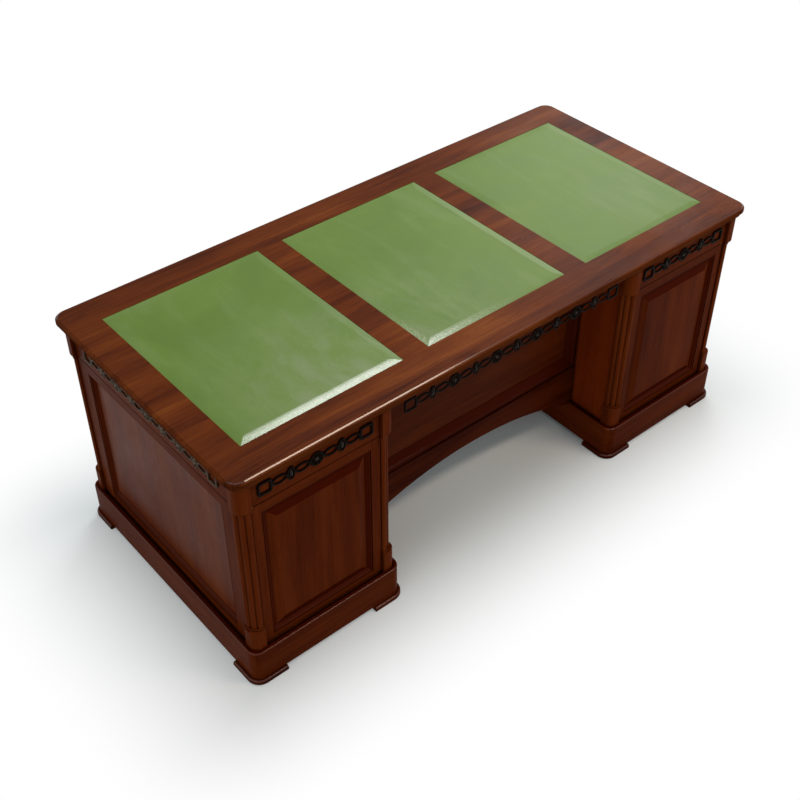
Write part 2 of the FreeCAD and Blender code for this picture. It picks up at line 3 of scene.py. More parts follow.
import bmesh
import bpy
import numpy as np
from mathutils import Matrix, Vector


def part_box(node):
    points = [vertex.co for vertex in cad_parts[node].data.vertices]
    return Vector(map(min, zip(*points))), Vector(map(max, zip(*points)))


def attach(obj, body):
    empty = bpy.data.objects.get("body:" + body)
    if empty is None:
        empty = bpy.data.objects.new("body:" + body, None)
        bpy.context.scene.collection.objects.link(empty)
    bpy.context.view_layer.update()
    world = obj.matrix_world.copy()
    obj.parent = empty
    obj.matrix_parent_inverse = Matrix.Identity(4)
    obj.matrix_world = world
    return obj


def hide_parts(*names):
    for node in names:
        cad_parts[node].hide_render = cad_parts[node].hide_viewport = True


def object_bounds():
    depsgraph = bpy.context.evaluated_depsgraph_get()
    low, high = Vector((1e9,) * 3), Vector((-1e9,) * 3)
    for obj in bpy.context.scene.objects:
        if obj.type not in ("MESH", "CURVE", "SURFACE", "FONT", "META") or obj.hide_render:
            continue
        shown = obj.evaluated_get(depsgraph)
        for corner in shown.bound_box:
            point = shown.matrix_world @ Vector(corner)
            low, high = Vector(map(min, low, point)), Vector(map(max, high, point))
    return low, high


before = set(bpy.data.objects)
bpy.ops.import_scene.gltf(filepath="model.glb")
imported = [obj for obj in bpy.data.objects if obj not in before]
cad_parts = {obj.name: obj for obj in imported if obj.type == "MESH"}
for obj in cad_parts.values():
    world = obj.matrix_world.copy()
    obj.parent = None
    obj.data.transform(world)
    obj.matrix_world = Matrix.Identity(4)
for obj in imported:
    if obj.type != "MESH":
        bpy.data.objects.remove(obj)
cad_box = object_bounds()

X, Y, Z = range(3)
SIDES = ("left", "right")
SHELL = "carcass"               # body of everything that stands still
MM = 0.001

# The photograph's camera
CAMERA_PLACE = Vector((-2.0401, -2.32965, 2.90717))
CAMERA_AZIMUTH = math.radians(-40.065)
CAMERA_ELEVATION = math.radians(40.889)
CAMERA_LENS = 55.282
CAMERA_SENSOR = 36.0


# Nodes

class Wire:
    """An output of a node tree, used in sums like a number."""

    def __init__(self, tree, socket):
        self.tree = tree
        self.socket = socket

    def reckon(self, operation, first, second=0.0):
        """Add a Math node."""
        return self.tree.node("ShaderNodeMath", {"operation": operation}, {0: first, 1: second})

    def __add__(self, other):
        return self.reckon("ADD", self, other)

    def __radd__(self, other):
        return self.reckon("ADD", other, self)

    def __sub__(self, other):
        return self.reckon("SUBTRACT", self, other)

    def __rsub__(self, other):
        return self.reckon("SUBTRACT", other, self)

    def __mul__(self, other):
        return self.reckon("MULTIPLY", self, other)

    def __rmul__(self, other):
        return self.reckon("MULTIPLY", other, self)

    def __truediv__(self, other):
        return self.reckon("DIVIDE", self, other)

    def __mod__(self, other):
        return self.reckon("MODULO", self, other)

    def __neg__(self):
        return self.reckon("MULTIPLY", self, -1.0)

    def __abs__(self):
        return self.reckon("ABSOLUTE", self)

    def __gt__(self, other):
        return self.reckon("GREATER_THAN", self, other)

    def __lt__(self, other):
        return self.reckon("LESS_THAN", self, other)

    def root(self):
        return self.reckon("SQRT", self)

    def least(self, other):
        return self.reckon("MINIMUM", self, other)

    def most(self, other):
        return self.reckon("MAXIMUM", self, other)


class Tree:
    """The nodes of a material, of the world or of a geometry tree."""

    def __init__(self, graph):
        self.graph = graph

    def node(self, kind, settings=None, values=None, out=0):
        """Add a node, with its settings first and then its sockets' values or links."""
        made = self.graph.nodes.new(kind)
        for name, setting in (settings or {}).items():
            if name == "stops":
                set_stops(made.color_ramp, setting)
            else:
                setattr(made, name, setting)
        for key, value in (values or {}).items():
            for part in value if isinstance(value, list) else [value]:
                if isinstance(part, Wire):
                    self.graph.links.new(part.socket, made.inputs[key])
                else:
                    made.inputs[key].default_value = part
        return Wire(self, made.outputs[out]) if made.outputs else None

    def axes(self, vector):
        """The three numbers of a vector."""
        parts = self.node("ShaderNodeSeparateXYZ", None, {0: vector})
        return [Wire(self, output) for output in parts.socket.node.outputs]

    def join(self, x, y, z):
        """A vector of three numbers."""
        return self.node("ShaderNodeCombineXYZ", None, {0: x, 1: y, 2: z})

    def seen(self):
        """1 where a ray from the camera, or one mirrored or passed through, meets the background."""
        paths = self.node("ShaderNodeLightPath").socket.node.outputs
        camera, glossy, through = [Wire(self, paths["Is " + kind + " Ray"]) for kind in
                                   ("Camera", "Glossy", "Transmission")]
        return camera.most(glossy).most(through)


def set_stops(ramp, stops):
    """Give a colour ramp its stops, each a place and a colour."""
    while len(ramp.elements) < len(stops):
        ramp.elements.new(1.0)
    for element, (place, colour) in zip(ramp.elements, stops):
        element.position = place
        element.color = (*colour, 1.0)


class Finish(Tree):
    """A procedural material."""

    def __init__(self, name):
        self.material = bpy.data.materials.new(name)
        self.material.use_nodes = True
        super().__init__(self.material.node_tree)
        self.graph.nodes.clear()
        self.place = self.node("ShaderNodeTexCoord", None, None, "Object")

    def facing(self):
        """The three numbers of the surface's normal, as the piece stands at rest."""
        return self.axes(self.node("ShaderNodeTexCoord", None, None, "Normal"))

    def stretch(self, scale, shift=(0.0, 0.0, 0.0)):
        """The object's coordinates, stretched so that a pattern runs along one way."""
        return self.node("ShaderNodeMapping", None, {"Vector": self.place, "Scale": scale, "Location": shift})

    def noise(self, vector, scale=1.0, detail=4.0, roughness=0.55, distortion=0.0):
        """A soft random pattern from 0 to 1, in repeats per metre."""
        values = {"Vector": vector, "Scale": scale, "Detail": detail, "Roughness": roughness}
        values["Distortion"] = distortion
        return self.node("ShaderNodeTexNoise", None, values, "Fac")

    def ramp(self, value, stops):
        """A value turned into a colour."""
        return self.node("ShaderNodeValToRGB", {"stops": stops}, {"Fac": value}, "Color")

    def spread(self, value, low, high, to_low=0.0, to_high=1.0, way="LINEAR"):
        """A value carried from one range to another and kept within it."""
        values = {"Value": value, "From Min": low, "From Max": high, "To Min": to_low, "To Max": to_high}
        return self.node("ShaderNodeMapRange", {"clamp": True, "interpolation_type": way}, values)

    def blend(self, first, second, factor, way="MIX"):
        """Mix two colours."""
        settings = {"data_type": "RGBA", "blend_type": way}
        return self.node("ShaderNodeMix", settings, {0: factor, 6: first, 7: second}, 2)

    def rounded_edges(self, radius):
        """Normals rounded over a board's edges."""
        return self.node("ShaderNodeBevel", {"samples": 4}, {"Radius": radius})

    def bump(self, height, distance, strength, normal=None):
        """Normals that follow a height, over those given."""
        values = {"Height": height, "Distance": distance, "Strength": strength}
        if normal is not None:
            values["Normal"] = normal
        return self.node("ShaderNodeBump", None, values)

    def finish(self, values):
        """End in a principled shader."""
        surface = self.node("ShaderNodeBsdfPrincipled", None, values)
        self.node("ShaderNodeOutputMaterial", None, {"Surface": surface})
        return self.material


# Grain of the wood

GRAIN_AXES = {"x": (1, 0, 0), "y": (0, 1, 0), "z": (0, 0, 1)}
GRAIN_START = 3.7               # shift of the pattern along the grain

# Repeats per metre, along the grain and across it
STREAKS = (1.1, 15.0)
FINE_LINES = (5.0, 130.0)
CLOUDS = (1.8, 4.5)
RIDGES = (0.9, 20.0)
FLECKS = (22.0, 620.0)


def along(axis, repeats):
    """A pattern's scale on each axis, for grain that runs along one of them."""
    length, breadth = repeats
    return tuple(length if flag else breadth for flag in GRAIN_AXES[axis])


def grain_tone(wood, axis):
    """How light the wood is, from 0 to 1, with grain along an axis."""
    shift = tuple(GRAIN_START * flag for flag in GRAIN_AXES[axis])

    def pattern(repeats, **look):
        return wood.noise(wood.stretch(along(axis, repeats), shift), **look)

    streaks = pattern(STREAKS, detail=6.0, roughness=0.58, distortion=0.7)
    fine = pattern(FINE_LINES, roughness=0.6)
    clouds = pattern(CLOUDS, detail=3.0)
    ridges = pattern(RIDGES, detail=3.0, roughness=0.5, distortion=0.9)
    veins = wood.spread(abs(ridges - 0.5), 0.0, 0.03, 0.06, 0.0)
    return streaks * 0.5 + fine * 0.14 + clouds * 0.36 - veins


def grain_pores(wood, axis):
    """Short dark pores along the grain, 1 in a pore."""
    flecks = wood.noise(wood.stretch(along(axis, FLECKS)), detail=2.0, roughness=0.5)
    return wood.spread(flecks, 0.60, 0.70)


# Where the wood is rubbed glossy, and where shade is painted onto it. The numbers of a normal are cosines,
# 1 where a face looks along that axis.

ARRIS_DEPTH = 3.7 * MM          # of the rubbed line on the nosing, below the highest solid
ARRIS_EDGE = 1.5 * MM           # half the line's width where it fades out
ARRIS_CORE = 0.8 * MM           # half its width where it is full
CREVICE_REACH = 16 * MM


def rubbed_shoulders(wood):
    """1 on round shoulders of edges and mouldings, which face between up and level, 0 on flat faces."""
    up = wood.facing()[Z]
    return wood.spread(up, 0.30, 0.55) * wood.spread(up, 0.999, 0.985)


def nosing_arris(wood):
    """A line along the middle of the bevel at the desk's front and back, where hands rub it."""
    below = cad_box[1].z - wood.axes(wood.place)[Z]
    line = wood.spread(abs(below - ARRIS_DEPTH), ARRIS_EDGE, ARRIS_CORE)
    return rubbed_shoulders(wood) * line * wood.spread(abs(wood.facing()[X]), 0.57, 0.53)


def ledges(wood):
    """1 on faces that look straight up, where the plinth's ledges get painted shade."""
    return wood.spread(wood.facing()[Z], 0.93, 0.99)


def crevice_shade(wood):
    """Where shade is painted: 1 deep in the corners between pieces, 0 in the open."""
    values = {"Distance": CREVICE_REACH}
    open_share = wood.node("ShaderNodeAmbientOcclusion", {"samples": 6}, values, "AO")
    return wood.spread(open_share, 0.80, 0.40)


def slopes(wood):
    """1 on the slopes of upright mouldings, which face neither straight out nor along an edge."""
    x, y, z = [abs(part) for part in wood.facing()]
    flattest = x.most(y).most(z)
    return wood.spread(flattest, 0.99, 0.975) * wood.spread(flattest, 0.74, 0.79)


def level_slopes(wood):
    """The slopes along the top and the bottom of a raised field."""
    return slopes(wood) * wood.spread(abs(wood.facing()[Z]), 0.1, 0.2)


# Wood

MAHOGANY = [(0.36, (0.040, 0.0050, 0.0008)), (0.46, (0.090, 0.0145, 0.0022)),
            (0.54, (0.124, 0.0220, 0.0034)), (0.66, (0.190, 0.0430, 0.0080)),
            (0.80, (0.270, 0.0640, 0.0120))]
DARK_PORES = (0.016, 0.0022, 0.0006, 1.0)
# Painted shade, laid on the slopes of mouldings and on the plinth's ledges
SHADE_PAINT = (0.055, 0.0050, 0.0003, 1.0)
# Painted shade, laid deep in corners and gaps
CREVICE_SHADE_PAINT = (0.010, 0.0010, 0.0002, 1.0)
BROWN_STAIN = (0.92, 1.12, 0.90, 1.0)
# Painted light: the red glow of light bounced between the wood of the kneehole's inner sides
PAINTED_RED_BOUNCE = (1.0, 0.66, 0.45, 1.0)
SMEARS = 7.0                    # repeats per metre of smears in the polish
PALE_WOOD = [(0.36, (0.30, 0.165, 0.070)), (0.5, (0.44, 0.27, 0.125)), (0.66, (0.56, 0.37, 0.19))]
PALE_PORES = (0.20, 0.105, 0.045, 1.0)
GRAIN_DEPTH = 0.2 * MM
BOARD_EDGE = 1.2 * MM           # rounding of a board's edges
DRAWER_EDGE = 0.8 * MM          # and of the drawers' thin boards
MITRE_REACH = 18 * MM           # how far a frame's mitred moulding runs in from its stiles


def mahogany(name, layout, figure=0.6, lighter=0.0, polish=0.008, rubbed=0.2, shoulders=rubbed_shoulders,
             hollow=0.0, hollows=slopes, stain=None, dull_sides=0.0):
    """Satin mahogany, with its grain laid out by a function.

    figure says how strong the grain is, lighter moves its tone, polish is the shine all over and rubbed that
    of the shoulders, hollow says how much painted shade darkens the places that hollows picks, and
    dull_sides how much rougher upright faces are.
    """
    wood = Finish(name)
    tone = layout(wood, grain_tone)
    pores = layout(wood, grain_pores)
    colour = wood.ramp((tone - 0.5) * figure + (0.5 + lighter), MAHOGANY)
    colour = wood.blend(colour, DARK_PORES, pores * 0.45)
    # Multiplied in: the top's brown stain, and the painted red glow of bounced light on the kneehole's inner
    # sides
    if stain:
        colour = wood.blend(colour, stain, 1.0, "MULTIPLY")
    # Painted shade on the slopes of mouldings and on ledges
    if hollow:
        colour = wood.blend(colour, SHADE_PAINT, hollows(wood) * hollow)
    # Painted shade deep in corners and gaps between pieces
    colour = wood.blend(colour, CREVICE_SHADE_PAINT, crevice_shade(wood) * 0.85)
    smears = wood.noise(wood.place, SMEARS, detail=3.0, roughness=0.6)
    rough = wood.spread(smears, 0.3, 0.7, 0.26, 0.38)
    if dull_sides:
        rough = rough + wood.spread(wood.facing()[Z], 0.5, 0.2) * dull_sides
    normal = wood.bump(tone * 0.4 - pores, GRAIN_DEPTH, 0.4, wood.rounded_edges(BOARD_EDGE))
    return wood.finish({"Base Color": colour, "Roughness": rough + pores * 0.12, "Normal": normal,
                        "Specular IOR Level": polish, "Coat Weight": shoulders(wood) * rubbed,
                        "Coat Roughness": 0.12})


def plain_grain(name, axis, **look):
    """Boards with grain along an axis."""
    def layout(wood, pattern):
        return pattern(wood, axis)

    return mahogany(name, layout, **look)


def turned_grain(name, **look):
    """Boards of a frame in plan: grain along Y on faces that look along X, otherwise along X."""
    def layout(wood, pattern):
        x, y, _ = wood.facing()
        ends = abs(x) > abs(y)
        return pattern(wood, "y") * ends + pattern(wood, "x") * (1.0 - ends)

    return mahogany(name, layout, **look)


def framed_grain(name, box, across, stile, low_rail, high_rail, hollow=0.9):
    """A frame's stiles have upright grain and its rails level grain, with mitred mouldings inside.

    The box is that of the right-hand frame. A frame that lies across X is mirrored for the left-hand one.
    """
    low, high = box
    middle = (low[across] + high[across]) / 2
    half = (high[across] - low[across]) / 2

    def upright(wood):
        place = wood.axes(wood.place)
        side = abs(place[X]) if across == X else place[across]
        from_stile = half - stile - abs(side - middle)
        from_rail = (place[Z] - (low[Z] + low_rail)).least((high[Z] - high_rail) - place[Z])
        return (from_stile < from_rail.most(0.0)) * (from_stile < MITRE_REACH)

    def layout(wood, pattern):
        stiles = upright(wood)
        return pattern(wood, "z") * stiles + pattern(wood, "xy"[across]) * (1.0 - stiles)

    # The moulding slopes inside the frame get painted shade
    return mahogany(name, layout, rubbed=0.06, hollow=hollow)


def drawer_wood():
    """Pale plain wood of the drawers' boxes, grain along the sides."""
    wood = Finish("drawer_wood")
    tone = grain_tone(wood, "y")
    pores = grain_pores(wood, "y")
    colour = wood.blend(wood.ramp(tone, PALE_WOOD), PALE_PORES, pores * 0.4)
    normal = wood.bump(tone - pores, GRAIN_DEPTH, 0.4, wood.rounded_edges(DRAWER_EDGE))
    return wood.finish({"Base Color": colour, "Roughness": 0.5 + pores * 0.1, "Normal": normal})


# Leather. Places on the panels are in metres from the middle of the desk.

GREENS = [(0.30, (0.079, 0.153, 0.012)), (0.52, (0.096, 0.176, 0.017)), (0.72, (0.117, 0.197, 0.030))]
RUBBED_GREEN = (0.19, 0.27, 0.10, 1.0)
# Painted sheen on the leather
PAINTED_SHEEN_GREEN = (0.26, 0.30, 0.22, 1.0)
DEEP_GREEN = (0.05, 0.10, 0.012, 1.0)
# Partly worn leather, partly a painted highlight
WORN_AND_HIGHLIT_GREEN = (0.50, 0.54, 0.40, 1.0)
PEBBLES = 520.0                 # these four in repeats per metre
FINE_GRAIN = 900.0
SPECKLES = 210.0
GREEN_CLOUDS = 3.2
PEBBLE_DEPTH = 0.16 * MM
FINE_DEPTH = 0.05 * MM
PANEL_GAP = -0.35               # x between the left and the middle panel


def green_leather():
    """Polished hide with fine pebbles, pale rubbed clouds, painted sheen and painted highlight, glossy on the
    slope that arms have rubbed.
    """
    hide = Finish("green_leather")
    cells = {"Vector": hide.place, "Scale": PEBBLES}
    pebbles = hide.node("ShaderNodeTexVoronoi", {"feature": "SMOOTH_F1"}, cells, "Distance")
    fine = hide.noise(hide.place, FINE_GRAIN, detail=3.0, roughness=0.6)
    clouds = hide.noise(hide.place, GREEN_CLOUDS, detail=5.0, roughness=0.62, distortion=0.6)
    speckles = hide.noise(hide.place, SPECKLES, detail=3.0, roughness=0.7)
    colour = hide.ramp(clouds, GREENS)
    colour = hide.blend(colour, RUBBED_GREEN, leather_rubs(hide))
    # Painted sheen: a pale haze towards the front of the left panel
    colour = hide.blend(colour, PAINTED_SHEEN_GREEN, painted_sheen_haze(hide))
    colour = hide.blend(colour, DEEP_GREEN, hide.spread(pebbles, 0.35, 0.75, 0.0, 0.22))
    # Partly worn leather, partly a painted highlight, speckled along the brinks of the front slopes
    colour = hide.blend(colour, WORN_AND_HIGHLIT_GREEN, worn_and_highlit_brink(hide, speckles))
    rough = hide.spread(clouds, 0.3, 0.7, 0.36, 0.46) + fine * 0.08
    normal = hide.bump(1.0 - pebbles, PEBBLE_DEPTH, 0.45)
    normal = hide.bump(fine, FINE_DEPTH, 0.5, normal)
    return hide.finish({"Base Color": colour, "Roughness": rough, "Normal": normal,
                        "Specular IOR Level": 0.22, "Coat Weight": slope_gloss(hide, speckles),
                        "Coat Roughness": 0.22})


def leather_rubs(hide):
    """Pale rubs that run from front to back."""
    streaks = hide.stretch((9.0, 2.2, 9.0), (4.1, 0.0, 0.0))
    rubs = hide.noise(streaks, detail=5.0, roughness=0.6, distortion=0.4)
    return hide.spread(rubs, 0.52, 0.80, 0.0, 0.38)


def painted_sheen_haze(hide):
    """Painted sheen: a pale streaky haze, most of it towards the front of the left panel."""
    x, y, _ = hide.axes(hide.place)
    streaks = hide.stretch((9.0, 4.5, 9.0), (0.0, 2.3, 0.0))
    patches = hide.noise(streaks, detail=6.0, roughness=0.68, distortion=0.8)
    place = hide.spread(y, 0.10, -0.25) * hide.spread(x, -0.90, -0.62) * hide.spread(x, 0.20, -0.40)
    return place * hide.spread(patches, 0.36, 0.64, 0.04, 0.42)


def front_of_left_panels(hide):
    """1 towards the front of the left and middle panels, 0 elsewhere."""
    x, y, _ = hide.axes(hide.place)
    return hide.spread(y, -0.12, -0.34) * hide.spread(x, 0.10, -0.32)


def worn_and_highlit_brink(hide, speckles):
    """Speckled pale on the brink of the front slopes and of the middle panel's left slope: partly worn
    leather, partly a painted highlight.
    """
    across = hide.axes(hide.place)[X]
    x, y, _ = hide.facing()
    brink = hide.spread((-y).most(-x * (across > PANEL_GAP)), 0.085, 0.125)
    strength = hide.spread(across, -0.40, -0.30, 0.2, 0.55)
    return brink * front_of_left_panels(hide) * hide.spread(speckles, 0.46, 0.58, 0.0, strength)


def slope_gloss(hide, speckles):
    """Gloss of the front slopes, most of it on the left panel, and a little on the side slopes."""
    across = hide.axes(hide.place)[X]
    x, y, _ = hide.facing()
    front = hide.spread(-y, 0.02, 0.08) * hide.spread(across, 0.0, -0.30, 0.12, 0.9)
    sides = hide.spread(abs(x), 0.02, 0.10) * 0.12
    return front.most(sides) * hide.spread(speckles, 0.30, 0.50, 0.9, 1.0)


# Metal

BRONZE_SPOTS = 160.0            # repeats per metre
SPOT_DEPTH = 0.12 * MM
BOSS_SHARE = 0.4                # of bare metal on the bosses
BRASS = [(0.3, (0.20, 0.12, 0.035)), (0.7, (0.34, 0.22, 0.08))]
BRUSHED_LINES = (600.0, 600.0, 40.0)    # repeats per metre along each axis
BRUSHED_DEPTH = 0.05 * MM


def old_bronze(name, dark, middle, pale, bare=0.0):
    """Bronze of the frets, mottled from dark hollows to paler rubbed spots."""
    metal = Finish(name)
    spots = metal.noise(metal.place, BRONZE_SPOTS, roughness=0.6)
    colour = metal.ramp(spots, [(0.35, dark), (0.55, middle), (0.75, pale)])
    rough = metal.spread(spots, 0.3, 0.7, 0.30, 0.48)
    normal = metal.bump(spots, SPOT_DEPTH, 0.5)
    return metal.finish({"Base Color": colour, "Metallic": bare, "Roughness": rough, "Normal": normal,
                         "Specular IOR Level": 0.02})


def dark_fret_metals():
    """The blackened bronze of most frets, and the paler bronze of their bosses: rubbed metal with a painted
    highlight.
    """
    line = old_bronze("dark_bronze", (0.0028, 0.0010, 0.0003), (0.0056, 0.0024, 0.0009),
                      (0.0120, 0.0085, 0.0045))
    # Rubbed metal with a painted highlight: the bosses' paler bronze
    boss = old_bronze("rubbed_bronze", (0.009, 0.007, 0.005), (0.024, 0.020, 0.017),
                      (0.050, 0.044, 0.040), BOSS_SHARE)
    return line, boss


def lit_end_fret_metals():
    """The bronze of the pedestal ends' frets, paler than the rest with painted reflection, and that of their
    bosses.
    """
    # Painted reflection: paler copies of the bronze, standing for light caught on the ends
    line = old_bronze("worn_bronze", (0.030, 0.018, 0.010), (0.100, 0.070, 0.046), (0.170, 0.130, 0.088))
    boss = old_bronze("worn_boss_bronze", (0.050, 0.036, 0.024), (0.120, 0.090, 0.062),
                      (0.180, 0.144, 0.100), BOSS_SHARE)
    return line, boss


def brushed_brass():
    """Brass of the pivots and latches, with brushed lines."""
    metal = Finish("brushed_brass")
    lines = metal.noise(metal.stretch(BRUSHED_LINES), detail=3.0, roughness=0.6)
    rough = metal.spread(lines, 0.3, 0.7, 0.28, 0.45)
    normal = metal.bump(lines, BRUSHED_DEPTH, 0.4)
    return metal.finish({"Base Color": metal.ramp(lines, BRASS), "Metallic": 1.0, "Roughness": rough,
                         "Normal": normal})


# Leather panels

PAD_BEVEL = 28 * MM             # width of the rounded border
PAD_EDGE = 5.4 * MM             # thickness at the edge
PAD_RISE = 3.1 * MM             # height of the rounding
PAD_ROUND = 1.35                # how much faster it falls towards the edge
PAD_CROWN = 1.0 * MM            # height of the crown over the rounding
CROWN_REACH = 4 * PAD_BEVEL     # how far in from the edge the crown rises most
PAD_WAVES = 0.10 * MM           # unevenness of the stuffing
CLOSE_LINES = 17                # grid lines over a border
CLOSE_WIDTH = 1.3 * PAD_BEVEL   # width that they cover
INNER_LINES = 31                # grid lines from border to border, their ends counted
SHARP_ANGLE = math.radians(40)  # edges sharper than this stay sharp


def mesh_object(name, mesh, material, smooth=True):
    """An object in the scene with the mesh's faces turned outwards."""
    data = bpy.data.meshes.new(name)
    bmesh.ops.recalc_face_normals(mesh, faces=mesh.faces)
    mesh.to_mesh(data)
    mesh.free()
    made = bpy.data.objects.new(name, data)
    bpy.context.scene.collection.objects.link(made)
    data.materials.append(material)
    if smooth:
        data.shade_smooth()
        data.set_sharp_from_angle(angle=SHARP_ANGLE)
    return made


def pad_lines(low, high):
    """Grid lines across a pad, close together at its borders."""
    border = np.linspace(0.0, CLOSE_WIDTH, CLOSE_LINES)
    inner = np.linspace(low + border[-1], high - border[-1], INNER_LINES)[1:-1]
    return np.concatenate([low + border, inner, high - border[::-1]])


def pad_height(inset, x, y):
    """Height over the pad's edge at a distance from that edge, with slight unevenness of the stuffing."""
    inward = np.clip(inset / PAD_BEVEL, 0.0, 1.0)
    rise = 1.0 - (1.0 - inward) ** PAD_ROUND
    crown = PAD_CROWN * (1.0 - np.exp(-inset / CROWN_REACH))
    waves = np.sin(31.0 * x + 1.3 * np.sin(17.0 * y)) * np.sin(27.0 * y + 1.1 * np.sin(13.0 * x))
    return PAD_RISE * rise + crown + PAD_WAVES * waves * inward


def pad_mesh(low, high):
    """A closed pad with a flat underside, on the floor of a box."""
    mesh = bmesh.new()
    xs = pad_lines(low.x, high.x)
    rows = []
    for y in pad_lines(low.y, high.y):
        row = []
        for x in xs:
            inset = min(x - low.x, high.x - x, y - low.y, high.y - y)
            z = low.z + PAD_EDGE + float(pad_height(inset, x, y))
            row.append(mesh.verts.new((x, y, z)))
        rows.append(row)
    for lower, upper in zip(rows, rows[1:]):
        for index in range(len(xs) - 1):
            mesh.faces.new((lower[index], lower[index + 1], upper[index + 1], upper[index]))
    rim = rows[0] + [row[-1] for row in rows[1:]] + rows[-1][-2::-1] + [row[0] for row in rows[-2:0:-1]]
    foot = [mesh.verts.new((vertex.co.x, vertex.co.y, low.z)) for vertex in rim]
    for index in range(len(rim)):
        following = (index + 1) % len(rim)
        mesh.faces.new((rim[following], rim[index], foot[index], foot[following]))
    mesh.faces.new(foot[::-1])
    return mesh


def leather_pad(side, material):
    """One padded panel in the place of its solid."""
    node = "leather_" + side
    low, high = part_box(node)
    pad = mesh_object("padded_" + node, pad_mesh(low, high), material)
    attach(pad, SHELL)
    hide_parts(node)


# Frets

FRET_SIZES = {"Square Width": 46 * MM, "Height": 44 * MM, "Line": 7.5 * MM, "Link Height": 28 * MM,
              "Link Line": 5.5 * MM, "Stud Width": 26 * MM, "Rosette Width": 44 * MM,
              "Thickness": 5 * MM, "Rounding": 1.6 * MM}
FRONT_LINKS = 4
END_LINKS = 8
KNEEHOLE_LINKS = 10
PETALS = 8
OVAL_POINTS = 32

# Shares of the fret's thickness
LINK_DEPTH = 0.9
DOME_RISE = 0.9
PETAL_RISE = 0.6

# Shares of other sizes
SQUARE_CORNER = 0.7             # of the line: radius of a square's corners
LINK_OVERLAP = 0.6              # of a link's line: what a link is longer than its gap
DROP_WIDTH = 0.42               # of a stud's width
DROP_HEIGHT = 0.56              # of the fret's height
BOSS_WIDTH = 0.30               # these four of a rosette's width
PETAL_LENGTH = 0.30
PETAL_WIDTH = 0.15
PETAL_RADIUS = 0.27             # from the rosette's middle to a petal's middle


